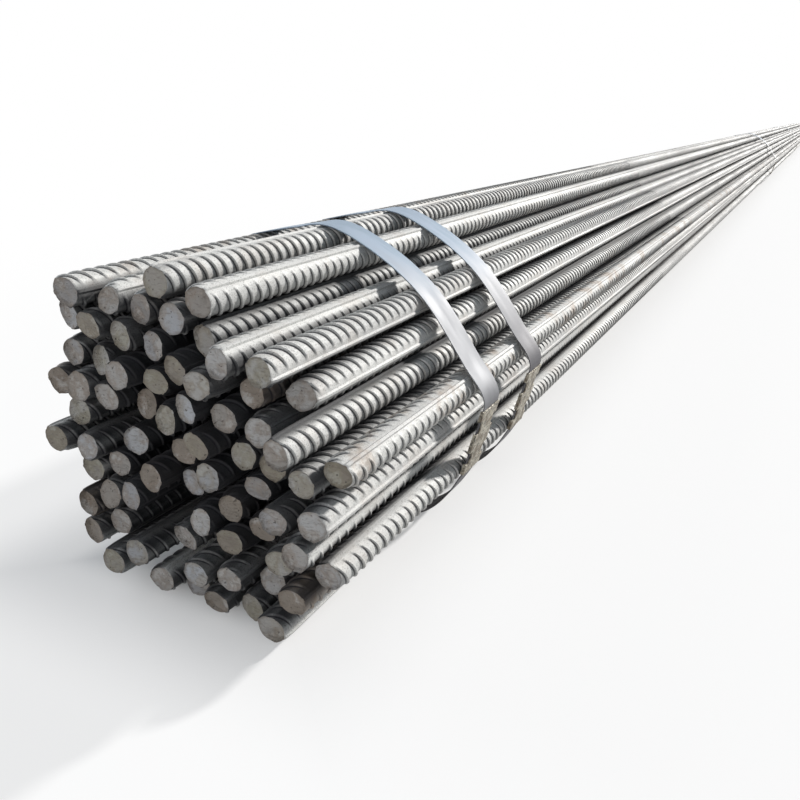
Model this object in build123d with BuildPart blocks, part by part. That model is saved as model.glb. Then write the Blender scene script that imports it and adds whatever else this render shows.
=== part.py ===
from build123d import *
import math
import os

# Bundle of straight ribbed reinforcing bars. X runs along the bars, with the
# shown ends at -X. Y runs across the bundle and Z is up, with the floor at Z 0.
# Lengths are in millimetres.

# one bar: the round is the envelope over its ribs, which are added in the looks
BAR_LENGTH = 12000.0
BAR_CORE = 21.3
RIB_HEIGHT = 1.8
BAR_ROUND = BAR_CORE + 2 * RIB_HEIGHT

# the pile of bars
BAR_COUNT = 78
BAR_CLEARANCE = 0.3
BASE_FROM = -46.0
BASE_GAPS = (1.3, 0.8, 2.3, 0.8)
# pairs of bars from which the pile grows unevenly: y, z and lean of each pair
PAIRS = ((84.0, 90.0, 35.0), (-36.0, 96.0, 30.0), (60.0, 170.0, 10.0))
PILE_WIDTH = 240.0
PILE_HEIGHT = 246.0
PILE_MIDDLE_Y = 31.0
PILE_MIDDLE_Z = 118.0
PILE_LEAN = 25.0
PILE_LOOSENESS = 0.12
# the side on which the pile is flatter: its direction, and how far out it lies
FLAT_ANGLE = 130.0
FLAT_REACH = 94.0

# ragged ends: how far each bar lies in from the foremost one
END_RAGGED = 22.0
END_STEP = 0.618034
DEEP_BARS = (13, 22, 26, 31, 40)
DEEP_RECESS = 110.0
SHOWN_RECESS = {63: 16.0, 69: 20.0, 65: 0.0, 75: 9.0, 74: 40.0, 67: 22.0, 71: 22.0}

# straps, by the distance of their middle from the foremost bar end
STRAP_WIDTH = 32.0
STRAP_THICKNESS = 0.9
STRAP_CLEARANCE = 0.3
STRAP_PLACES = (226.0, 340.0, 4300.0, 7600.0)

# crimped seals on the straps
SEAL_THICKNESS = 1.2
SEAL_CLEARANCE = 0.15
SEAL_LENGTH = 62.0
SEAL_ANGLE = 195.7
SEAL_MARGIN = 2.0
TAIL_LENGTH = 8.0
NOTCH_WIDTH = 12.0
NOTCH_DEPTH = 6.0
NOTCH_APART = 30.0

SPACING = BAR_ROUND + BAR_CLEARANCE
BASE_COUNT = len(BASE_GAPS) + 1
FLOOR_ROW = BAR_ROUND / 2 + STRAP_CLEARANCE + STRAP_THICKNESS


def between(a, b):
    return math.hypot(a[0] - b[0], a[1] - b[1])


def wander(spot, turn):
    """A fixed value between -1 and 1 for a spot, so that the pile is uneven."""
    y, z = spot[0] / SPACING, spot[1] / SPACING
    return math.sin(2.1 * y + 1.3 * z + turn) * math.sin(1.7 * z - 2.6 * y + 2 * turn)


def outwardness(spot):
    """0 at the middle of the pile, 1 on its outline, a leaning oval with a flat side."""
    lean = math.radians(PILE_LEAN)
    y, z = spot[0] - PILE_MIDDLE_Y, spot[1] - PILE_MIDDLE_Z
    along = y * math.cos(lean) - z * math.sin(lean)
    up = y * math.sin(lean) + z * math.cos(lean)
    oval = math.hypot(along / (PILE_WIDTH / 2), up / (PILE_HEIGHT / 2))
    side = math.radians(FLAT_ANGLE)
    return max(oval, (y * math.cos(side) + z * math.sin(side)) / FLAT_REACH)


def rests(a, b):
    """The two spots where a bar touches both bars a and b."""
    gap = between(a, b)
    if gap >= 2 * SPACING or gap < SPACING / 2:
        return []
    rise = math.sqrt(SPACING ** 2 - gap ** 2 / 4)
    mid = ((a[0] + b[0]) / 2, (a[1] + b[1]) / 2)
    side = ((b[1] - a[1]) / gap * rise, (a[0] - b[0]) / gap * rise)
    return [(mid[0] + side[0], mid[1] + side[1]), (mid[0] - side[0], mid[1] - side[1])]


def pile_up():
    """A flat row and some pairs, then each bar against two others, innermost first."""
    laid = [(BASE_FROM + k * SPACING + sum(BASE_GAPS[:k]), FLOOR_ROW) for k in range(BASE_COUNT)]
    for y, z, lean in PAIRS:
        step = (SPACING / 2 * math.cos(math.radians(lean)), SPACING / 2 * math.sin(math.radians(lean)))
        laid += [(y - step[0], z - step[1]), (y + step[0], z + step[1])]
    open_spots = [s for k, bar in enumerate(laid) for other in laid[:k] for s in rests(bar, other)]
    while len(laid) < BAR_COUNT:
        free = []
        for spot in open_spots:
            if spot[1] >= FLOOR_ROW and min(between(spot, bar) for bar in laid) > SPACING * 0.9999:
                free.append(spot)
        best = min(free, key=lambda s: outwardness(s) + PILE_LOOSENESS * wander(s, 0.7))
        open_spots = free + [s for bar in laid for s in rests(bar, best)]
        laid.append(best)
    return laid


def is_outer(spot, pile):
    """True where no other bar lies before this one on its way out."""
    out = (spot[0] - HEART[0], spot[1] - HEART[1])
    size = math.hypot(*out)
    for bar in pile:
        step = (bar[0] - spot[0], bar[1] - spot[1])
        gap = math.hypot(*step)
        if 0 < gap < 2.4 * SPACING and step[0] * out[0] + step[1] * out[1] > 0.8 * gap * size:
            return False
    return True


def corners_of(pile):
    """The convex outline of the bar middles, one way round."""
    def turn(a, b, c):
        return (b[0] - a[0]) * (c[1] - a[1]) - (b[1] - a[1]) * (c[0] - a[0])

    def half(spots):
        chain = []
        for spot in spots:
            while len(chain) > 1 and turn(chain[-2], chain[-1], spot) <= SPACING * 0.01:
                chain.pop()
            chain.append(spot)
        return chain[:-1]
    ordered = sorted(pile)
    return half(ordered) + half(ordered[::-1])


def recess(number):
    """How far a bar's end lies in from the foremost end."""
    ragged = SHOWN_RECESS.get(number, END_RAGGED * (number * END_STEP % 1.0))
    return ragged + (DEEP_RECESS if number in DEEP_BARS else 0)


OUTWARD = (math.cos(math.radians(SEAL_ANGLE)), math.sin(math.radians(SEAL_ANGLE)))
STRAIGHT = SEAL_LENGTH / 2 + SEAL_MARGIN
STRAP_TOP = STRAP_CLEARANCE + STRAP_THICKNESS
TAIL_TOP = STRAP_TOP + STRAP_THICKNESS
SEAL_TOP = TAIL_TOP + SEAL_CLEARANCE + SEAL_THICKNESS


def outward(spot, distance):
    """The spot moved away from the pile, square to the seal."""
    return (spot[0] + OUTWARD[0] * distance, spot[1] + OUTWARD[1] * distance)


def along_seal(spot, distance):
    """The spot moved up along the seal."""
    return (spot[0] + OUTWARD[1] * distance, spot[1] - OUTWARD[0] * distance)


def reach(spot):
    """How far out the spot lies on the seal's side."""
    return spot[0] * OUTWARD[0] + spot[1] * OUTWARD[1]


def seal_spot(pile):
    """Midway between the two outermost bars of the seal's side, as far out as they are."""
    a, b = sorted(pile, key=reach)[-2:]
    middle = ((a[0] + b[0]) / 2, (a[1] + b[1]) / 2)
    return outward(middle, reach(b) - reach(middle))


def rim(pile):
    """The straps' corners: the seal is stiff, so it keeps its own stretch straight."""
    spot = seal_spot(pile)
    return corners_of(pile + [along_seal(spot, STRAIGHT), along_seal(spot, -STRAIGHT)])


# the pile is moved across and along until the origin is at its middle
LAID = pile_up()
SEAL_EDGE = outward(along_seal(seal_spot(LAID), SEAL_LENGTH / 2), BAR_ROUND / 2 + SEAL_TOP)
LEFT = max(y for y, z in rim(LAID)) + BAR_ROUND / 2 + STRAP_TOP
RIGHT = min(min(y for y, z in rim(LAID)) - BAR_ROUND / 2 - STRAP_TOP, SEAL_EDGE[0])
PILE = [(y - (LEFT + RIGHT) / 2, z) for y, z in LAID]
CORNERS = rim(PILE)
SEAL_MIDDLE = outward(seal_spot(PILE), BAR_ROUND / 2)
HEART = (PILE_MIDDLE_Y - (LEFT + RIGHT) / 2, PILE_MIDDLE_Z)
START = -(BAR_LENGTH + max(recess(k) for k in range(BAR_COUNT))) / 2
BASE = list(range(BASE_COUNT))
OUTER = [k for k in range(len(BASE), BAR_COUNT) if is_outer(PILE[k], PILE)]
INNER = [k for k in range(len(BASE), BAR_COUNT) if k not in OUTER]


def bars(numbers):
    """The bars with these numbers, each from its own ragged start."""
    for number in numbers:
        y, z = PILE[number]
        with Locations((START + recess(number) + BAR_LENGTH / 2, y, z)):
            Cylinder(BAR_ROUND / 2, BAR_LENGTH, rotation=(0, 90, 0))


def band(x, width, inner, outer, stretch=0, up=0, mode=Mode.ADD):
    """A band around the bars, or a stretch of it that is centred up from the seal."""
    with BuildSketch(Plane.YZ.offset(x - width / 2)) as section:
        with BuildSketch(mode=Mode.PRIVATE) as hole:
            Polygon(*CORNERS, align=None)
            offset(amount=BAR_ROUND / 2 + inner)
        Polygon(*CORNERS, align=None)
        offset(amount=BAR_ROUND / 2 + outer)
        add(hole.sketch_local, mode=Mode.SUBTRACT)
        if stretch:
            with Locations(along_seal(SEAL_MIDDLE, up)):
                Rectangle(2 * BAR_ROUND, stretch, rotation=SEAL_ANGLE, mode=Mode.INTERSECT)
    extrude(section.sketch, amount=width, mode=mode)


def strap(x):
    """One strap: a closed band, and its tail lapped over it under the seal."""
    band(x, STRAP_WIDTH, STRAP_CLEARANCE, STRAP_TOP)
    lap = SEAL_LENGTH + TAIL_LENGTH
    band(x, STRAP_WIDTH, STRAP_TOP - STRAP_THICKNESS / 3, TAIL_TOP, lap, TAIL_LENGTH / 2)


def seal(x):
    """The seal folded over both layers of a strap, bitten in at its edges."""
    slot = STRAP_WIDTH + 2 * SEAL_CLEARANCE
    width = slot + 2 * SEAL_THICKNESS
    band(x, width, STRAP_CLEARANCE, SEAL_TOP, SEAL_LENGTH)
    band(x, slot, 0, SEAL_TOP - SEAL_THICKNESS, 2 * SEAL_LENGTH, 0, Mode.SUBTRACT)
    for side in (-1, 1):
        for shift in (-NOTCH_APART / 2, NOTCH_APART / 2):
            y, z = along_seal(SEAL_MIDDLE, shift)
            with Locations(Location((x + side * width / 2, y, z), (SEAL_ANGLE, 0, 0))):
                Box(2 * NOTCH_DEPTH, BAR_ROUND, NOTCH_WIDTH, mode=Mode.SUBTRACT)


os.makedirs("parts", exist_ok=True)

with BuildPart() as bars_base:
    bars(BASE)
bars_base.part.label = "bars_base"
export_step(bars_base.part, "parts/bars_base.step")

with BuildPart() as bars_outer:
    bars(OUTER)
bars_outer.part.label = "bars_outer"
export_step(bars_outer.part, "parts/bars_outer.step")

with BuildPart() as bars_inner:
    bars(INNER)
bars_inner.part.label = "bars_inner"
export_step(bars_inner.part, "parts/bars_inner.step")

for index, place in enumerate(STRAP_PLACES, 1):
    with BuildPart() as strap_part:
        strap(START + place)
    strap_part.part.label = f"strap_{index}"
    export_step(strap_part.part, f"parts/strap_{index}.step")

    with BuildPart() as seal_part:
        seal(START + place)
    seal_part.part.label = f"seal_{index}"
    export_step(seal_part.part, f"parts/seal_{index}.step")
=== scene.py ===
import math

import bpy
import numpy as np
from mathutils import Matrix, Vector


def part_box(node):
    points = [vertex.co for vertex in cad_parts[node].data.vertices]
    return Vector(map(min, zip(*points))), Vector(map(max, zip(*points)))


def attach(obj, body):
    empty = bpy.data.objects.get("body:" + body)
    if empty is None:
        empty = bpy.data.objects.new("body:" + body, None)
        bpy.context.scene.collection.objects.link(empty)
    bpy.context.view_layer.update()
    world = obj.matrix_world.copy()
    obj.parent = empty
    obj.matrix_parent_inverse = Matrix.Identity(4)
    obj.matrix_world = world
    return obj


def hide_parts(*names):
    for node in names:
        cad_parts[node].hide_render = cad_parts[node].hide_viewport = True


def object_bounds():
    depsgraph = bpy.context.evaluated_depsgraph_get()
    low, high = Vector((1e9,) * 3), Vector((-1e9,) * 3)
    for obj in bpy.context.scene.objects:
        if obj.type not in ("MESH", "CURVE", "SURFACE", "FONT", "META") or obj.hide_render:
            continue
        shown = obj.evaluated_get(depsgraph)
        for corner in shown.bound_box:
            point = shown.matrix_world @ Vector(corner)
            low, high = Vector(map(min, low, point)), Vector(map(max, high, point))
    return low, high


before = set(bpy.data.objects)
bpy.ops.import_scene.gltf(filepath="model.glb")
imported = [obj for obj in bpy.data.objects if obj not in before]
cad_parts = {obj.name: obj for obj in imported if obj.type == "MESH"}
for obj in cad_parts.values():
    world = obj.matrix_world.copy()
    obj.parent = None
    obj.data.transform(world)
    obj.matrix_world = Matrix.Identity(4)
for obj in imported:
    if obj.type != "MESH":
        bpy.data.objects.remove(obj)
cad_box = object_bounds()

# ---- sizes in metres, +X along the bars with the shown ends at -X ----
CORE = 0.01065            # bar without its ribs
RIB = 0.0017              # height of a crescent rib at its middle
PITCH = 0.0105            # from rib to rib
RIB_LEAN = math.radians(64)   # between a rib and the bar's length
RIB_TOP = 0.05            # half its top's width, in pitches
RIB_FOOT = 0.135          # half its foot's width, in pitches
RIB_SHADOW_AT = 0.17          # from a rib's middle back to the painted shadow line along its foot, in pitches
RIB_GAP = 0.42            # angle kept free beside a longitudinal rib
SPINE = 0.0014            # height of a longitudinal rib
SPINE_TOP = 0.085         # half its angle at its top
SPINE_FOOT = 0.17         # half its angle at its foot
SIDE_STEPS = 12           # columns between two longitudinal ribs
PLAIN = CORE + 0.0006     # mean radius where the ribs are bump only
RIBBED_SHOWN = 1.30       # mean length of the modelled ribs on bars that the camera sees
RIBBED_OUTER = 0.45       # on the other bars of the outside
RIBBED_INNER = 0.08       # on the bars inside the bundle
RIBBED_SPREAD = (0.84, 0.28)  # those lengths differ from bar to bar: least share, and its range
GOLDEN = 0.618034         # steps the bars evenly through that range
FINE_RIBS = 0.5           # beyond this a rib is a plain ridge without a flat top
FULL_RIBS = 0.40          # beyond this the modelled ribs grow lower and bump grows in
FULL_SHARE = 0.6          # the same on short ribbed lengths, as a share of them
LAST_RIB = 0.3            # share of its height that the last modelled rib keeps
CRESCENT = 0.6            # power of the sine across a rib, low for a blunt crescent
SOFT_START = 0.003        # length over which ribs rise from a sheared end
HELD_STEP = 0.00001       # rows of points that a cut holds back are this far apart
LEAST_SET_IN = 0.0009     # how far every rim lies in from the bar's full length, its lip aside
EDGE_SHARE = 0.8          # share of the rim's unevenness that is added to that
LIP = 0.0006              # height of the lip on a cut's far side
PRESS_DEPTH = 0.0045      # depth over which the shape of a cut dies out
RIM_INSET = 0.012         # share by which every rim is drawn in
EDGE_DEPTH = 0.0005       # depth of its rounded edge
EDGE_ROUND = 0.03         # share by which that is drawn in
WAVES = 560               # most radians per metre in the waves of a cut face
WAVE_HEIGHT = 0.0005
SHARP_BAR = math.radians(26)    # edges sharper than this stay sharp
SHARP_STRAP = math.radians(30)
STRAP_HALF = 0.016        # half a strap's width
STRAP_THICK = 0.0009
STRAP_EDGE = 0.0001       # how far a strap's edges are broken
STRAP_SWAY = 0.0003       # how far a strap strays sideways
STRAP_STEPS = 18          # points between two touches
OUTLINE_WAYS = 2880       # ways in which a strap's farthest point is looked for
CORNER_GAP = 1e-5         # corners of its outline are further apart than this
POINT_GAP = 2e-4          # and points of its path than this
BOX_INSET = 1e-5          # its path stays this far inside the CAD strap's box
LONG_RUN = 0.009          # straight stretches of a strap are longer than this
ONE_TOUCH = 0.004         # touches of a strap nearer than this are one
LOOSE = ((0.01, 0.04), (1.0, 0.2))  # y of a place, and the share of its curve that a strap keeps
# Painted shade: bars sheltered inside the bundle, and sides that face a neighbour nearer than NEAR,
# are painted darker.
NEAR = 0.031              # bars nearer than this shade each other's facing sides
CREVICE_SHADE = ((0.62, 0.97), (0.0, 0.9))  # cosines from a neighbour's way, and the share of painted shade there
SELF = 1e-4               # a bar nearer than this is the bar itself
SAME_LEVEL = 2e-5         # end faces nearer than this are one
SAME_BAR = 0.004          # a shown bar's middle is within this of its stated place
SEEN_FROM = math.radians(145)  # the camera's side, square to the bars
SEEN_COSINE = 0.3         # least cosine between that side and a way that the camera sees
SEEN_WAYS = 3             # a bar with more open ways than this towards the camera is seen
OUTSIDE_WAYS = 2          # one with more than this in all is outside
OPEN_WAYS = 7             # one with this many or more is not sheltered at all
PIECE_POINTS = 90000      # most points in one joined mesh
SEED = 11

CAMERA_AT = (cad_box[0][0] - 0.3377, -0.3420, 0.3340)
CAMERA_LOOK = (0.83106, 0.43542, -0.34604)
CAMERA_LENS = 34.65

SIDE_SHIFT = (math.pi / 2 - SPINE_FOOT) * CORE / math.tan(RIB_LEAN)


# ---- the bars of a CAD node ----
def bars_in(node):
    """(start x, end x, y, z) of every round bar in a node, from the vertices of its end faces."""
    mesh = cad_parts[node].data
    spots = np.empty(len(mesh.vertices) * 3)
    mesh.vertices.foreach_get("co", spots)
    spots = spots.reshape(-1, 3)
    levels = np.unique(spots[:, 0])
    levels = levels[np.concatenate([[True], np.diff(levels) > SAME_LEVEL])]
    starts, ends = levels[levels < 0], levels[levels > 0]
    found = []
    for start, end in zip(starts, ends):
        face = spots[np.abs(spots[:, 0] - start) < SAME_LEVEL]
        middle = (face.min(0) + face.max(0)) / 2
        found.append((float(start), float(end), float(middle[1]), float(middle[2])))
    return found


# ---- how the bars lie to each other, and how the shown ones are turned ----
WAY_ANGLES = np.linspace(0, 2 * math.pi, 48, endpoint=False)

# middle of a bar (y, z), where its longitudinal rib shows from the camera, 0 at the bar's upper
# outline and 1 at its lower one, and its tone, 0 for rusty brown and 1 for pale. The last two
# lie one over the other, and their ribs close the slit between them.
SHOWN_BARS = (((0.0186, 0.2360), 0.0, 0.40),
              ((-0.0117, 0.2251), 0.2, 0.32),
              ((-0.0383, 0.1941), 0.2, 0.85),
              ((-0.0632, 0.1897), 0.88, 0.80),
              ((-0.0717, 0.1659), 0.84, 0.70),
              ((-0.1031, 0.1370), 0.62, 0.0),
              ((-0.1150, 0.1147), 0.45, 0.75),
              ((0.0831, 0.0473), 1.0, 0.6),
              ((0.0778, 0.0226), 1.0, 0.4))


def open_ways(spots):
    """For each bar and each of a ring of directions square to the bars: true where no other bar
    stands within a bar's width of the line that way."""
    ways = np.stack([np.cos(WAY_ANGLES), np.sin(WAY_ANGLES)], -1)
    apart = spots[None, :, :] - spots[:, None, :]
    ahead = apart @ ways.T
    aside = np.abs(apart @ np.stack([-ways[:, 1], ways[:, 0]]))
    return ~((ahead > SELF) & (aside < CORE)).any(1)


def ways_to_neighbours(spot, spots):
    """Angles from a bar to the bars that stand less than NEAR away."""
    apart = spots - spot
    gaps = np.linalg.norm(apart, axis=1)
    close = apart[(gaps > SELF) & (gaps < NEAR)]
    return np.arctan2(close[:, 1], close[:, 0])


def looks_of(y, z, rng):
    """A bar's turn and tone, random unless it is a shown bar. The turn puts its longitudinal rib
    at its share of the width seen by the camera: angle towards the camera plus the arcsine of
    twice the share less one."""
    turn, tone = rng.uniform(0, math.pi), rng.uniform()
    for (at_y, at_z), share, shade in SHOWN_BARS:
        if math.hypot(y - at_y, z - at_z) < SAME_BAR:
            facing = math.atan2(CAMERA_AT[2] - z, CAMERA_AT[1] - y)
            turn, tone = facing + math.asin(2 * share - 1), shade
    return turn, tone


# ---- the ribbed bar ----
def columns():
    """Angles round a bar: four at each longitudinal rib, even steps between the two."""
    rib = [-SPINE_FOOT, -SPINE_TOP, SPINE_TOP, SPINE_FOOT]
    side = np.linspace(SPINE_FOOT, math.pi - SPINE_FOOT, SIDE_STEPS + 2)[1:-1]
    half = np.concatenate([rib, side])
    return np.concatenate([half, half + math.pi])


def rib_shift(angle):
    """How far along the bar a rib lies at an angle: from -S to +S over each side, like a screw,
    and straight back to -S across the longitudinal rib."""
    side = np.mod(angle + SPINE_FOOT, math.pi) - SPINE_FOOT
    return np.interp(side, [-SPINE_FOOT, SPINE_FOOT, math.pi - SPINE_FOOT],
                     [SIDE_SHIFT, -SIDE_SHIFT, SIDE_SHIFT])


def rib_height(along, angle):
    """Height of the crescent ribs over the core: a power of half a sine wave across each side,
    times a flat-topped ridge along the pitch."""
    off = (along - rib_shift(angle)) / PITCH
    off = np.abs(off - np.round(off))
    ridge = np.interp(off, [RIB_TOP, RIB_FOOT], [1.0, 0.0])
    side = np.mod(angle, math.pi)
    part = np.clip((side - RIB_GAP) / (math.pi - 2 * RIB_GAP), 0, 1)
    crescent = np.sin(math.pi * part) ** CRESCENT
    return RIB * crescent * ridge


def spine_height(angle):
    """Height over the core of the two longitudinal ribs, at 0 and pi, with sloping flanks."""
    side = np.mod(angle, math.pi)
    near = np.minimum(side, math.pi - side)
    return SPINE * np.interp(near, [SPINE_TOP, SPINE_FOOT], [1.0, 0.0])


def wobble(rng, count, size):
    """A sum of sines round the rim with random sizes and phases, as a function of the angle: two
    waves round the rim, then three and so on, each lower than the one before."""
    phases = rng.uniform(0, 2 * math.pi, count)
    sizes = size * rng.uniform(0.4, 1.0, count) / np.arange(1, count + 1)
    return lambda angle: sum(s * np.sin((k + 2) * angle + p)
                             for k, (s, p) in enumerate(zip(sizes, phases)))


class Cut:
    """One sheared end: the blade side is pressed in and rounded, the far side keeps a lip."""

    def __init__(self, rng):
        self.blade = rng.uniform(0, 2 * math.pi)      # angle of the blade's side
        self.press = rng.uniform(0.02, 0.20)          # share of the radius pressed in there
        self.slant = rng.uniform(0.0004, 0.0042)      # how far the face leans over the bar
        self.edge = wobble(rng, 5, 0.0003)            # unevenness of the rim along the bar
        self.rim = wobble(rng, 5, 0.036)              # and square to it, as a share
        self.waves = rng.uniform(-1, 1, (4, 2)) * WAVES
        self.phases = rng.uniform(0, 2 * math.pi, 4)
        self.break_at = rng.uniform(-0.004, 0.004)    # place of the fold across the face
        self.break_slope = rng.uniform(-0.5, 0.5)

    def set_in(self, angle):
        """How far the rim lies in from the bar's full length: a slanted plane, deepest at the
        blade, plus the rim's unevenness, less the lip on the far side."""
        facing = np.cos(angle - self.blade)
        lip = np.clip(-facing, 0, 1) ** 6
        slanted = LEAST_SET_IN + self.slant * (1 + facing) / 2
        return slanted + np.abs(self.edge(angle)) * EDGE_SHARE - LIP * lip

    def squeeze(self, angle, depth):
        """Share of the radius that is kept at a depth from the end: one less the press at the
        blade and the rim's wobble, both dying out with depth, and less a small rounded edge."""
        facing = np.clip(np.cos(angle - self.blade), 0, 1) ** 1.5
        near = np.exp(-depth / PRESS_DEPTH)
        edge = np.exp(-depth / EDGE_DEPTH) * EDGE_ROUND
        return 1 - near * (self.press * facing + self.rim(angle) + RIM_INSET) - edge

    def relief(self, y, z):
        """Unevenness of the end face: a fold where shearing turned to breaking, on one side of a
        line across the face, plus four crossing sine waves."""
        across = y * math.cos(self.blade) + z * math.sin(self.blade)
        fold = self.break_slope * np.clip(across - self.break_at, 0, None)
        waves = [np.sin(y * a + z * b + p) for (a, b), p in zip(self.waves, self.phases)]
        return fold + WAVE_HEIGHT * sum(waves)


# rings of an end face as shares of its rim, and rows of points along the bar by their distance
# from the near rim, from the last modelled rib and from the far rim
FACE_RINGS = (0.955, 0.84, 0.69, 0.52, 0.34, 0.16)
EDGE_ROWS = np.array([0.0, 0.0004, 0.0012])[:, None]
STOP_ROWS = np.array([0.0005, 0.006])[:, None]
FAR_ROWS = np.array([0.03, 0.012, 0.006, 0.003, 0.0012, 0.0004, 0.0])[:, None]


def bar_mesh(start, end, y, z, ribbed, looks, inner, near_ways, rng):
    """A bar as rows of points along its length, each row round the bar, closed by two sheared
    faces. Point = (x, y + R cos, z + R sin), R = core + rib height, squeezed near a cut. Rows
    follow the ribs' edges; those that would pass the cut are held just behind it. Each point also
    carries its share of bump, the bar's tone, and its share of painted shade: by the bar's shelter
    inside the bundle, or more where it faces a neighbour."""
    angle = columns()[None, :]
    turn, tone = looks
    near, far = Cut(rng), Cut(rng)
    length = end - start
    phase = rng.uniform(0, PITCH)
    first = math.floor((phase - SIDE_SHIFT) / PITCH)
    change, last = math.floor(min(ribbed, FINE_RIBS) / PITCH), math.floor(ribbed / PITCH)
    fine = np.arange(first, change)[:, None] + np.array([-RIB_FOOT, -RIB_TOP, RIB_TOP, RIB_FOOT])
    plainer = np.arange(change, last)[:, None] + np.array([-RIB_FOOT, 0, RIB_FOOT])
    rows = (np.concatenate([fine.ravel(), plainer.ravel()]) * PITCH - phase)[:, None]
    rim = near.set_in(angle)
    held = rim + EDGE_ROWS[-1] + HELD_STEP * (1 + np.arange(len(rows)))[:, None]
    along = np.vstack([rim + EDGE_ROWS, np.maximum(rows + rib_shift(angle), held)])
    kept = near.squeeze(angle, along - rim)
    fade = np.interp(along, [min(FULL_RIBS, FULL_SHARE * ribbed), ribbed], [0.0, 1.0])
    tall = 1 - (1 - LAST_RIB) * fade
    height = np.maximum(rib_height(along + phase, angle) * tall, spine_height(angle))
    radius = (CORE + height * (1 - np.exp((rim - along) / SOFT_START) / 2)) * kept

    smooth = spine_height(angle)
    plain = PLAIN + np.maximum(smooth - (PLAIN - CORE), 0)
    stop = along[-1:] + STOP_ROWS
    back = length - FAR_ROWS - far.set_in(angle)
    along = np.vstack([along, stop, back])
    radius = np.vstack([radius, CORE + smooth, plain, plain * far.squeeze(angle, FAR_ROWS)])
    bump = np.vstack([fade, fade[-1:], np.ones_like(radius[-len(FAR_ROWS) - 1:])])

    around = angle + turn
    points = np.stack([start + along, y + radius * np.cos(around), z + radius * np.sin(around)], -1)
    count = points.shape[1]
    u = np.concatenate([along + phase, along[:, :1] + phase], 1)
    v = np.broadcast_to(np.append(angle[0], angle[0, 0] + 2 * math.pi) / (2 * math.pi), u.shape)
    spots, plains = [points.reshape(-1, 3)], [bump.ravel()]
    faces, uvs = [grid_faces(len(points), count)], [grid_uvs(u, v)]
    kinds = [np.zeros(len(faces[0]), int)]
    for cut, side, base in ((near, -1, 0), (far, 1, (len(points) - 1) * count)):
        cap, spread = cap_mesh(points[base // count], cut, side)
        at = sum(len(s) for s in spots)
        ids = np.concatenate([base + np.arange(count), at + np.arange(len(cap) - count)])
        quads = fan_faces(len(FACE_RINGS), count)
        if side < 0:
            quads = quads[:, ::-1]
        spots.append(cap[count:])
        plains.append(np.zeros(len(cap) - count))
        faces.append(ids[quads])
        uvs.append(spread[quads])
        kinds.append(np.ones(len(quads), int))
    plains = np.concatenate(plains)
    # Painted shade on the bar's sides: more where a side faces a near neighbour, and all over by
    # the bar's shelter.
    crevice_shade = np.interp(np.cos(around[0][:, None] - near_ways).max(1), *CREVICE_SHADE)
    shade_share = np.full_like(plains, float(inner))
    shade_share[:radius.size] = np.broadcast_to(np.maximum(crevice_shade, inner), radius.shape).ravel()
    marks = {"plain": plains, "tone": np.full_like(plains, tone), "inner": shade_share}
    return (*(np.concatenate(part) for part in (spots, faces, uvs, kinds)), marks)


def cap_mesh(rim, cut, side):
    """End face: rings at shares of the rim down to a middle point. Each ring is the rim drawn
    towards its middle, moved along the bar by the cut's relief, which fades out at the rim."""
    middle = rim.mean(0)
    shares = np.array(FACE_RINGS)[:, None, None]
    rings = middle + (rim - middle) * shares
    low = cut.relief(rings[..., 1] - middle[1], rings[..., 2] - middle[2])
    low -= low.min()
    rings[..., 0] -= side * low * (1 - shares[..., 0] ** 8)
    hub = rings[-1].mean(0)[None, :]
    spots = np.concatenate([rim, rings.reshape(-1, 3), hub])
    return spots, (spots - middle)[:, 1:]


def fan_faces(rings, count):
    """Quads from ring to ring inwards, then triangles to the hub, as quads with a doubled
    corner."""
    ids = np.arange((rings + 1) * count).reshape(rings + 1, count)
    a, b = ids[:-1], ids[1:]
    quads = np.stack([a, np.roll(a, -1, 1), np.roll(b, -1, 1), b], -1).reshape(-1, 4)
    hub = np.full(count, (rings + 1) * count)
    fan = np.stack([ids[-1], np.roll(ids[-1], -1), hub, hub], -1)
    return np.concatenate([quads, fan])


def grid_faces(rows, count):
    """Quads of a tube of rows, each closed round on itself, facing outwards."""
    ids = np.arange(rows * count).reshape(rows, count)
    a, b = ids[:-1], ids[1:]
    return np.stack([a, np.roll(a, -1, 1), np.roll(b, -1, 1), b], -1).reshape(-1, 4)


def grid_uvs(u, v):
    """Corner UVs in the order of grid_faces, u along the bar in metres, v in turns."""
    uv = np.stack([u, v], -1)
    a, b = uv[:-1], uv[1:]
    return np.stack([a[:, :-1], a[:, 1:], b[:, 1:], b[:, :-1]], -2).reshape(-1, 4, 2)


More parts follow.
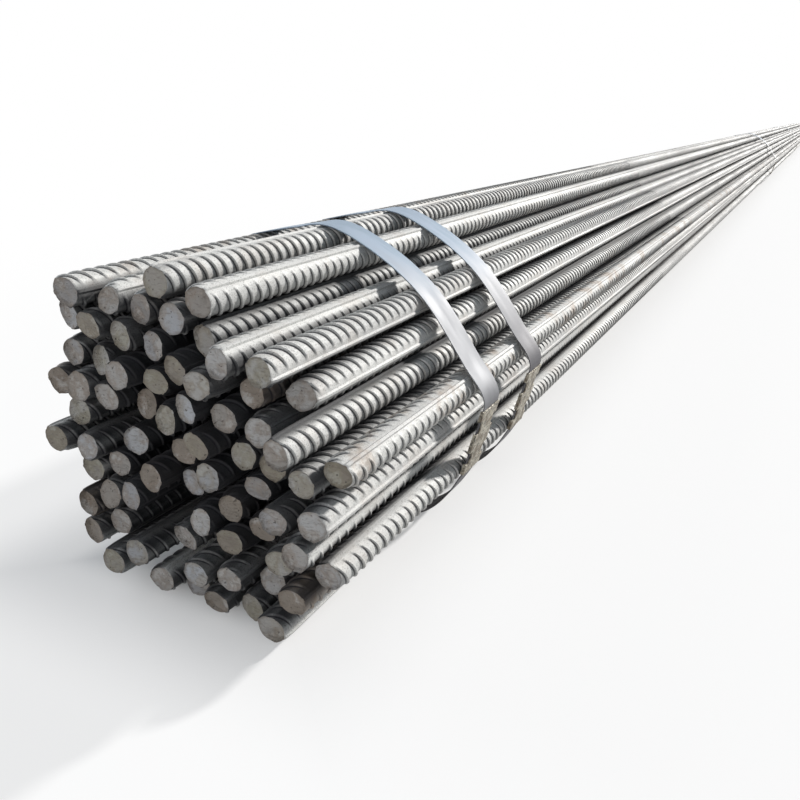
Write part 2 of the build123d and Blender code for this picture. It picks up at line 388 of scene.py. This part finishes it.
def build(name, parts, materials, body="root"):
    """Joins meshes from bar_mesh into one object, with its UV map and its attributes. A quad with
    a doubled corner becomes a triangle, whichever way it was turned."""
    shift = np.cumsum([0] + [len(p[0]) for p in parts[:-1]])
    spots = np.concatenate([p[0] for p in parts])
    faces = np.concatenate([p[1] + s for p, s in zip(parts, shift)])
    uvs = np.concatenate([p[2] for p in parts])
    kinds = np.concatenate([p[3] for p in parts])
    fan = (faces[:, 2] == faces[:, 3]) | (faces[:, 0] == faces[:, 1])
    quads, tris = faces[~fan], faces[fan]
    same = tris[:, 0] == tris[:, 1]
    tris = np.where(same[:, None], tris[:, 1:], tris[:, :3])
    tri_uvs = np.where(same[:, None, None], uvs[fan][:, 1:], uvs[fan][:, :3])
    mesh = bpy.data.meshes.new(name)
    mesh.vertices.add(len(spots))
    mesh.vertices.foreach_set("co", spots.astype(np.float32).ravel())
    corners = np.concatenate([quads.ravel(), tris.ravel()]).astype(np.int32)
    mesh.loops.add(len(corners))
    mesh.loops.foreach_set("vertex_index", corners)
    mesh.polygons.add(len(faces))
    starts = np.concatenate([np.arange(len(quads)) * 4, len(quads) * 4 + np.arange(len(tris)) * 3])
    mesh.polygons.foreach_set("loop_start", starts.astype(np.int32))
    finishes = np.concatenate([kinds[~fan], kinds[fan]]).astype(np.int32)
    mesh.polygons.foreach_set("material_index", finishes)
    mesh.update(calc_edges=True)
    layer = mesh.uv_layers.new(name="along")
    spread = np.concatenate([uvs[~fan].ravel(), tri_uvs.ravel()])
    layer.data.foreach_set("uv", spread.astype(np.float32))
    for mark in ("plain", "tone", "inner"):
        layer = mesh.attributes.new(mark, "FLOAT", "POINT")
        values = np.concatenate([p[4][mark] for p in parts])
        layer.data.foreach_set("value", values.astype(np.float32))
    mesh.polygons.foreach_set("use_smooth", np.ones(len(faces), bool))
    mesh.set_sharp_from_angle(angle=SHARP_BAR)
    for material in materials:
        mesh.materials.append(material)
    mesh.validate()
    piece = bpy.data.objects.new(name, mesh)
    bpy.context.scene.collection.objects.link(piece)
    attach(piece, body)
    return piece


# ---- the straps ----
def outline_of(node):
    """Corner points of a strap's outer outline in order, by the farthest point each way."""
    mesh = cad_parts[node].data
    spots = np.empty(len(mesh.vertices) * 3)
    mesh.vertices.foreach_get("co", spots)
    spots = spots.reshape(-1, 3)[:, 1:]
    turn = np.linspace(0, 2 * math.pi, OUTLINE_WAYS, endpoint=False)
    far = np.argmax(spots @ np.stack([np.cos(turn), np.sin(turn)]), 0)
    far = far[far != np.roll(far, 1)]
    rim = spots[far]
    return rim[np.linalg.norm(rim - np.roll(rim, 1, 0), axis=1) > CORNER_GAP]


def touches_of(rim, kept):
    """Points that the strap runs through and its way there: the middle of each bend, and both
    ends of the straight stretches that are kept, given by a point near each."""
    runs = np.roll(rim, -1, 0) - rim
    sizes = np.linalg.norm(runs, axis=1)
    flats = np.flatnonzero(sizes > LONG_RUN)
    middles = rim[flats] + runs[flats] / 2
    straight = {int(np.argmin(np.linalg.norm(middles - spot, axis=1))) for spot in kept}
    touches = []
    for k, flat in enumerate(flats):
        way = runs[flat] / sizes[flat]
        if k in straight:
            touches += [(rim[flat], way), (rim[(flat + 1) % len(rim)], way)]
        after = flats[(k + 1) % len(flats)]
        next_way = runs[after] / sizes[after]
        bend = way + next_way
        count = (after - flat - 1) % len(rim)
        spot = rim[(flat + 1 + count // 2) % len(rim)]
        close = any(np.linalg.norm(spot - at) < ONE_TOUCH for at, _ in touches)
        if not close and not ((k + 1) % len(flats) in straight and count < 2):
            touches.append((spot, bend / np.linalg.norm(bend)))
    return touches


def strap_path(node, kept):
    """The strap's outer outline as a closed curve: between two touches a cubic with their ways at
    its ends, as long as their distance apart, drawn towards the straight line between them on the
    side away from the camera."""
    touches = touches_of(outline_of(node), kept)
    share = np.linspace(0, 1, STRAP_STEPS, endpoint=False)[:, None]
    h1, h2 = 2 * share ** 3 - 3 * share ** 2 + 1, share ** 3 - 2 * share ** 2 + share
    h3, h4 = 3 * share ** 2 - 2 * share ** 3, share ** 3 - share ** 2
    parts = []
    for (a, way_a), (b, way_b) in zip(touches, touches[1:] + touches[:1]):
        size = np.linalg.norm(b - a)
        line = a + (b - a) * share
        slack = np.interp(line[:, :1], *LOOSE)
        curve = h1 * a + h2 * size * way_a + h3 * b + h4 * size * way_b
        parts.append(line + slack * (curve - line))
    path = np.concatenate(parts)
    low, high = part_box(node)
    path = np.clip(path, np.array(low)[1:] + BOX_INSET, np.array(high)[1:] - BOX_INSET)
    return path[np.linalg.norm(path - np.roll(path, 1, 0), axis=1) > POINT_GAP]


def strap_mesh(name, x, path, rng):
    """A flat band swept round a closed path: at each point its outer edge lines lie on the path,
    half the width to either side, and its inner ones a thickness inwards, with the edges slightly
    broken. The band strays sideways by a sum of three sines round the path."""
    ahead = np.roll(path, -1, 0) - path
    behind = path - np.roll(path, 1, 0)
    ahead /= np.linalg.norm(ahead, axis=1)[:, None]
    behind /= np.linalg.norm(behind, axis=1)[:, None]
    way = ahead + behind
    way /= np.linalg.norm(way, axis=1)[:, None]
    out = np.stack([way[:, 1], -way[:, 0]], -1)
    w, t, b = STRAP_HALF, STRAP_THICK, STRAP_EDGE
    section = np.array([(-w, -b), (-w + b, 0), (w - b, 0), (w, -b),
                        (w, b - t), (w - b, -t), (b - w, -t), (-w, b - t)])
    turn = np.linspace(0, 2 * math.pi, len(path), endpoint=False)[:, None]
    sway = sum(STRAP_SWAY * np.sin(n * turn + rng.uniform(0, 6.28)) for n in (2, 3, 5))
    across = np.broadcast_to(section[:, 0], (len(path), len(section))) + sway + x
    spots = path[:, None, :] + out[:, None, :] * section[None, :, 1, None]
    points = np.concatenate([across[..., None], spots], -1).reshape(-1, 3)
    a = np.arange(len(points)).reshape(len(path), -1)
    b = np.roll(a, -1, 0)
    faces = np.stack([a, b, np.roll(b, -1, 1), np.roll(a, -1, 1)], -1).reshape(-1, 4).tolist()
    mesh = bpy.data.meshes.new(name)
    mesh.from_pydata(points.tolist(), [], faces)
    mesh.polygons.foreach_set("use_smooth", np.ones(len(faces), bool))
    mesh.set_sharp_from_angle(angle=SHARP_STRAP)
    return mesh


# ---- shader maths ----
class Wire:
    """A socket with the arithmetic of Math nodes."""

    def __init__(self, nodes, socket):
        self.nodes, self.socket = nodes, socket

    def math(self, operation, *values):
        settings, sockets = {"operation": operation}, dict(enumerate(values))
        return self.nodes.out("ShaderNodeMath", 0, settings, sockets)

    def __add__(self, other): return self.math("ADD", self, other)
    def __radd__(self, other): return self.math("ADD", other, self)
    def __sub__(self, other): return self.math("SUBTRACT", self, other)
    def __rsub__(self, other): return self.math("SUBTRACT", other, self)
    def __mul__(self, other): return self.math("MULTIPLY", self, other)
    def __rmul__(self, other): return self.math("MULTIPLY", other, self)
    def __truediv__(self, other): return self.math("DIVIDE", self, other)
    def __pow__(self, other): return self.math("POWER", self, other)
    def __abs__(self): return self.math("ABSOLUTE", self)
    def fraction(self): return self.math("FRACT", self)
    def at_least(self, other): return self.math("MAXIMUM", self, other)
    def sine(self): return self.math("SINE", self)

    def ramp(self, low, high, to_low=0.0, to_high=1.0):
        """Smooth step from one value to another between low and high."""
        return self.nodes.out("ShaderNodeMapRange", 0, {"interpolation_type": "SMOOTHSTEP"},
                              {0: self, 1: low, 2: high, 3: to_low, 4: to_high})


class Nodes:
    """The nodes of a material or of the world."""

    def __init__(self, tree):
        self.tree = tree

    def node(self, kind, settings, sockets):
        """A node of that type, with its settings set first and then its sockets."""
        made = self.tree.nodes.new(kind)
        for key, value in settings.items():
            setattr(made, key, value)
        for key, value in sockets.items():
            self.feed(made.inputs[key], value)
        return made

    def feed(self, socket, value):
        """Links a wire to a socket, or sets a plain value on it."""
        if isinstance(value, Wire):
            self.tree.links.new(value.socket, socket)
        else:
            socket.default_value = value

    def out(self, kind, output, settings=None, sockets=None):
        """One output of a new node, as a wire."""
        return Wire(self, self.node(kind, settings or {}, sockets or {}).outputs[output])

    def shown_rays(self):
        """1 on rays from the camera, off gloss and through glass, 0 on all others."""
        path = self.node("ShaderNodeLightPath", {}, {})
        camera, glossy, clear = (
            Wire(self, path.outputs[name])
            for name in ("Is Camera Ray", "Is Glossy Ray", "Is Transmission Ray"))
        return camera.at_least(glossy).at_least(clear)


class Finish(Nodes):
    """A material and its nodes."""

    def __init__(self, name):
        self.material = bpy.data.materials.new(name)
        self.material.use_nodes = True
        super().__init__(self.material.node_tree)
        self.shader = self.tree.nodes["Principled BSDF"]

    def set(self, **values):
        """Sets the shader's own sockets, named with underscores for their spaces."""
        for key, value in values.items():
            self.feed(self.shader.inputs[key.replace("_", " ")], value)

    def place(self, scale=(1, 1, 1)):
        """Object coordinates, stretched by a scale per axis."""
        spot = self.out("ShaderNodeTexCoord", "Object")
        return self.out("ShaderNodeMapping", 0, {}, {"Vector": spot, "Scale": scale})

    def mark(self, name):
        """A value that the mesh carries at its points."""
        return self.out("ShaderNodeAttribute", "Fac", {"attribute_name": name})

    def noise(self, where, scale, detail=3.0, rough=0.55):
        """Noise from 0 to 1 with its mean near a half."""
        return self.out("ShaderNodeTexNoise", 0, {},
                        {"Vector": where, "Scale": scale, "Detail": detail, "Roughness": rough})

    def blend(self, share, a, b):
        """Colour a turned into colour b by a share."""
        return self.out("ShaderNodeMix", 2, {"data_type": "RGBA"}, {0: share, 6: a, 7: b})

    def bump(self, height, distance, strength=1.0):
        """Normals of a relief that is a distance high where its height is 1."""
        return self.out("ShaderNodeBump", 0, {},
                        {"Strength": strength, "Distance": distance, "Height": height})


def rolled_steel():
    """Hot-rolled bar: pale grey scale with rubbed streaks, fine dark speckle, a breath of rust and
    a painted shadow along the foot of each rib. Bars inside the bundle get painted shade, and so do
    the sides that face a neighbour. Beyond the modelled ribs, bump carries them on in step, with
    painted shade for their shadows."""
    f = Finish("rolled_steel")
    even = f.place()
    patches = f.noise(f.place((0.08, 1, 1)), 46, 3)
    streak = f.noise(f.place((0.02, 1, 1)), 520, 2)
    speck = f.noise(even, 950, 2, 0.6)
    rust = f.noise(even, 38, 4, 0.62)
    uv = f.out("ShaderNodeUVMap", 0, {"uv_map": "along"})
    parts = f.node("ShaderNodeSeparateXYZ", {}, {0: uv})
    along, turn = Wire(f, parts.outputs[0]), Wire(f, parts.outputs[1]).fraction()
    side = (2 * turn).fraction()
    shift = SIDE_SHIFT / (1 - 2 * SPINE_FOOT / math.pi) * (2 * side - 1)
    step = ((along - shift) / PITCH + 0.5).fraction() - 0.5
    crescent = (side * math.pi).sine().ramp(0.25, 0.8)
    ridge = abs(step).ramp(RIB_TOP * 0.8, RIB_FOOT * 1.1, 1.0, 0.0) * crescent
    plain, tone, inner = f.mark("plain"), f.mark("tone"), f.mark("inner")
    # Painted shadow: a dark line along each rib's foot on its -X side, where the rib's own shadow
    # falls; wider where the ribs are bump only.
    foot = abs(step + RIB_SHADOW_AT).ramp(0.02 + plain * 0.04, 0.09 + plain * 0.13, 1.0, 0.0) * crescent
    painted_rib_shade = (0.055, 0.055, 0.06, 1)
    grey = f.blend(patches.ramp(0.36, 0.64), (0.52, 0.52, 0.51, 1), (0.65, 0.65, 0.63, 1))
    grey = f.blend(streak.ramp(0.4, 0.75) * 0.4, grey, (0.74, 0.74, 0.72, 1))
    grey = f.blend(speck.ramp(0.52, 0.68) * 0.6, grey, (0.20, 0.195, 0.19, 1))
    rusty = rust.ramp(0.46, 0.66) * tone.ramp(0.0, 0.3, 0.75, 0.16)
    grey = f.blend(rusty, grey, (0.30, 0.215, 0.15, 1))
    grey = f.blend(tone.ramp(0.0, 0.12, 0.7, 0.0), grey, (0.37, 0.285, 0.215, 1))
    grey = f.blend(foot * 0.95, grey, painted_rib_shade)
    # Painted shade where the ribs are bump only, for the mean darkness of their shadows.
    grey = f.blend(plain * plain * 0.26, grey, painted_rib_shade)
    # Painted shade inside the bundle and in the gaps between bars, a little less where the ribs are
    # bump only; it also dulls the gloss there.
    grey = f.blend(inner * (0.95 - 0.35 * plain), grey, (0.022, 0.022, 0.026, 1))
    f.set(Base_Color=grey, Metallic=0.06, Specular_IOR_Level=0.2,
          Roughness=patches.ramp(0.3, 0.7, 0.66, 0.54) + speck * 0.06 + inner * 0.3,
          Normal=f.bump(ridge * plain + speck * 0.08, RIB))
    return f.material


def sheared_steel():
    """Cut face: matt brown grey, differing from bar to bar, blotched and dragged, with dark pits
    and a darker, rusted rim. The UV map is the place on the face, from its middle."""
    f = Finish("sheared_steel")
    even = f.place()
    tone = f.mark("tone")
    uv = f.out("ShaderNodeUVMap", 0, {"uv_map": "along"})
    spot = f.node("ShaderNodeSeparateXYZ", {}, {0: uv})
    across, up = Wire(f, spot.outputs[0]), Wire(f, spot.outputs[1])
    cloud = f.noise(even, 70, 4, 0.58)
    fine = f.noise(even, 330, 3, 0.6)
    pits = f.noise(even, 400, 1, 0.5)
    drag = f.noise(f.place((1, 0.2, 1)), 700, 2)
    rim = ((across * across + up * up) ** 0.5 / CORE + (fine - 0.5) * 0.5).ramp(0.72, 1.02)
    face = f.blend(tone.ramp(0.0, 0.9), (0.33, 0.285, 0.24, 1), (0.60, 0.59, 0.58, 1))
    face = f.blend(cloud.ramp(0.44, 0.60) * 0.8, face, (0.38, 0.315, 0.265, 1))
    face = f.blend((cloud + fine * 0.3).ramp(0.68, 0.82) * 0.7, face, (0.67, 0.66, 0.64, 1))
    olive = (tone * 7.3).fraction().ramp(0.5, 0.9) * cloud.ramp(0.35, 0.6, 0.1, 0.5)
    face = f.blend(olive, face, (0.38, 0.37, 0.27, 1))
    bluish = (tone * 5.1).fraction().ramp(0.55, 0.95) * cloud.ramp(0.4, 0.6, 0.5, 0.1)
    face = f.blend(bluish, face, (0.56, 0.60, 0.67, 1))
    face = f.blend(drag.ramp(0.52, 0.7) * 0.4, face, (0.20, 0.17, 0.145, 1))
    face = f.blend(rim * 0.6, face, (0.22, 0.18, 0.145, 1))
    face = f.blend(pits.ramp(0.68, 0.76) * 0.7, face, (0.05, 0.043, 0.038, 1))
    f.set(Base_Color=face, Metallic=0.05, Roughness=0.66,
          Normal=f.bump(fine * 0.8 + drag * 0.3 + cloud, 0.0025, 0.9))
    return f.material


def zinc_strap(name, shade_low, shade_high):
    """Flat strap with faint rolling lines and dull patches: painted bluish sky light on top,
    plainer grey from there down, and painted shade below a height, darkest at the bottom."""
    f = Finish(name)
    even = f.place()
    lines = f.noise(f.place((1, 0.03, 0.03)), 1500, 2)
    dull = f.noise(f.place((1, 0.3, 0.3)), 48, 3)
    spot = f.node("ShaderNodeSeparateXYZ", {}, {0: even})
    height = Wire(f, spot.outputs[2]) + (dull - 0.5) * 0.04
    tone = f.blend(dull.ramp(0.42, 0.6), (0.31, 0.375, 0.46, 1), (0.265, 0.33, 0.405, 1))
    # Painted sky light: the strap stays bluish only near its top and turns plainer grey below about
    # 0.21 m.
    tone = f.blend(height.ramp(0.185, 0.235, 1.0, 0.0), tone, (0.255, 0.26, 0.275, 1))
    # Painted shade below a height, where the strap turns down under the bundle and under its seal.
    tone = f.blend(height.ramp(shade_low, shade_high, 0.9, 0.0), tone, (0.085, 0.082, 0.09, 1))
    f.set(Base_Color=tone, Metallic=0.18, Specular_IOR_Level=0.25,
          Roughness=dull.ramp(0.35, 0.7, 0.52, 0.64) + lines * 0.05,
          Normal=f.bump(lines, 0.00005, 0.6))
    return f.material


def seal_steel():
    """Crimped seal: dull beige grey, stained brown and scuffed in small dents."""
    f = Finish("seal_steel")
    even = f.place()
    stain = f.noise(even, 110, 4, 0.62)
    dents = f.noise(even, 420, 3, 0.6)
    tone = f.blend(stain.ramp(0.40, 0.62), (0.47, 0.435, 0.355, 1), (0.20, 0.165, 0.12, 1))
    tone = f.blend(dents.ramp(0.48, 0.62) * 0.85, tone, (0.09, 0.08, 0.068, 1))
    f.set(Base_Color=tone, Metallic=0.25, Roughness=stain.ramp(0.3, 0.7, 0.48, 0.62),
          Normal=f.bump(dents + stain * 0.6, 0.0012, 0.9))
    return f.material


BAR_FINISHES = [rolled_steel(), sheared_steel()]
# straps 2 and 4 get their painted shade from higher up than straps 1 and 3
STRAPS = [zinc_strap("zinc_strap", 0.085, 0.14), zinc_strap("zinc_strap_low_shade", 0.12, 0.20)]
SEAL = seal_steel()

# ---- bars ----
rng = np.random.default_rng(SEED)
laid = {node: bars_in(node) for node in ("bars_base", "bars_outer", "bars_inner")}
middles = np.array([bar[2:] for bars in laid.values() for bar in bars])
open_to = open_ways(middles)
to_camera = np.cos(WAY_ANGLES - SEEN_FROM) > SEEN_COSINE
seen = (open_to & to_camera).sum(1) > SEEN_WAYS
outside = open_to.sum(1) > OUTSIDE_WAYS
# share of painted shade for each bar, by how few ways lie open round it
shelter = 1 - np.clip(open_to.sum(1) / OPEN_WAYS, 0, 1)
number = 0
for node, bars in laid.items():
    made = []
    for start, end, y, z in bars:
        ribbed = RIBBED_SHOWN if seen[number] else RIBBED_OUTER if outside[number] else RIBBED_INNER
        ribbed *= RIBBED_SPREAD[0] + RIBBED_SPREAD[1] * (number * GOLDEN % 1)
        near_ways = ways_to_neighbours(middles[number], middles)
        looks = looks_of(y, z, rng)
        made.append(bar_mesh(start, end, y, z, ribbed, looks, shelter[number], near_ways, rng))
        number += 1
    made.sort(key=lambda bar: -len(bar[0]))
    batches = [[]]
    for bar in made:
        if sum(len(b[0]) for b in batches[-1]) + len(bar[0]) > PIECE_POINTS:
            batches.append([])
        batches[-1].append(bar)
    for k, batch in enumerate(batches):
        piece = build(f"{node}_ribbed_{k + 1}", batch, BAR_FINISHES)
        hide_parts(node)

# ---- straps, eased off the bars between their bends; seals keep the CAD's shape ----
seal_low, seal_high = (np.array(corner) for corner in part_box("seal_1"))
seal_spot = (seal_low + seal_high)[1:] / 2
strap_low, strap_high = (np.array(corner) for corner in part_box("strap_1"))
floor_spot = np.array([strap_low[1] + strap_high[1], 0.0]) / 2
path = strap_path("strap_1", (seal_spot, floor_spot))
for number in range(1, 5):
    low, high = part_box(f"strap_{number}")
    mesh = strap_mesh(f"strap_band_{number}", (low[0] + high[0]) / 2, path, rng)
    mesh.materials.append(STRAPS[(number - 1) % 2])
    band = bpy.data.objects.new(f"strap_band_{number}", mesh)
    bpy.context.scene.collection.objects.link(band)
    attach(band, "root")
    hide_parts(f"strap_{number}")
    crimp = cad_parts[f"seal_{number}"]
    crimp.data.materials.clear()
    crimp.data.materials.append(SEAL)

# ---- floor, light and camera ----
FLOOR_HALF = 40.0
LONG_HALF = cad_box[1][0]
FLOOR_MIDDLE = 0.03       # y from which the floor's distance to the bundle's side is taken
FLOOR_INSET = 0.12        # how far in from its ends the distance to them starts
# from and to a distance from the bundle, and the share of white that comes on between them
WHITE_STEPS = ((0.07, 0.12, 0.4), (0.10, 0.22, 0.35), (0.15, 1.6, 0.25))


def ground():
    """A pale floor. The share of plain white that the camera and reflections see in it grows with
    the distance from the bundle, in three smooth steps; the rest keeps the shadow."""
    half = FLOOR_HALF
    corners = [(-half, -half, 0), (half, -half, 0), (half, half, 0), (-half, half, 0)]
    mesh = bpy.data.meshes.new("floor")
    mesh.from_pydata(corners, [], [(0, 1, 2, 3)])
    f = Finish("floor")
    spot = f.node("ShaderNodeSeparateXYZ", {}, {0: f.place()})
    beside = abs(Wire(f, spot.outputs[1]) - FLOOR_MIDDLE)
    beyond = abs(Wire(f, spot.outputs[0])) - LONG_HALF + FLOOR_INSET
    aside = beside.at_least(beyond)
    shown = f.shown_rays()
    share = shown * sum(aside.ramp(low, high, 0.0, part) for low, high, part in WHITE_STEPS)
    f.set(Base_Color=f.blend(shown, (0.35, 0.35, 0.35, 1), (0.80, 0.80, 0.80, 1)), Roughness=0.9)
    white = f.out("ShaderNodeEmission", 0, {}, {"Color": (1, 1, 1, 1), "Strength": 1.0})
    lit = Wire(f, f.shader.outputs[0])
    mixed = f.out("ShaderNodeMixShader", 0, {}, {0: share, 1: lit, 2: white})
    f.feed(f.tree.nodes["Material Output"].inputs[0], mixed)
    mesh.materials.append(f.material)
    floor = bpy.data.objects.new("floor", mesh)
    bpy.context.scene.collection.objects.link(floor)


def sky():
    """Even pale light all round, plain white where the camera or a reflection sees it."""
    world = bpy.data.worlds.new("studio")
    bpy.context.scene.world = world
    world.use_nodes = True
    f = Nodes(world.node_tree)
    soft = f.out("ShaderNodeBackground", 0, {}, {"Color": (0.70, 0.84, 1.0, 1), "Strength": 0.19})
    bright = f.out("ShaderNodeBackground", 0, {}, {"Color": (1, 1, 1, 1), "Strength": 1.0})
    mixed = f.out("ShaderNodeMixShader", 0, {}, {0: f.shown_rays(), 1: soft, 2: bright})
    f.tree.nodes.remove(f.tree.nodes["Background"])
    f.feed(f.tree.nodes["World Output"].inputs[0], mixed)


def aimed(name, data, aim):
    """A lamp or camera in the scene, turned to look along aim."""
    thing = bpy.data.objects.new(name, data)
    thing.rotation_euler = Vector(aim).to_track_quat("-Z", "Y").to_euler()
    bpy.context.scene.collection.objects.link(thing)
    return thing


def lamp(name, energy, aim, colour, spread):
    """A far lamp that shines along aim, as wide as spread in degrees."""
    light = bpy.data.lights.new(name, "SUN")
    light.energy = energy
    light.color = colour
    light.angle = math.radians(spread)
    aimed(name, light, aim)


ground()
sky()
lamp("key", 5.3, (-0.80, 0.39, -0.42), (1.0, 0.98, 0.95), spread=4)
lamp("front", 0.62, (0.94, 0.12, -0.28), (1.0, 0.98, 0.96), spread=25)
lamp("back", 1.1, (-0.2, -0.88, -0.42), (0.94, 0.97, 1.0), spread=30)
bpy.context.scene.view_settings.view_transform = "Standard"

camera_data = bpy.data.cameras.new("camera")
camera_data.lens = CAMERA_LENS
camera_data.clip_start = 0.01
camera_data.clip_end = 200
camera = aimed("camera", camera_data, CAMERA_LOOK)
camera.location = CAMERA_AT
bpy.context.scene.camera = camera
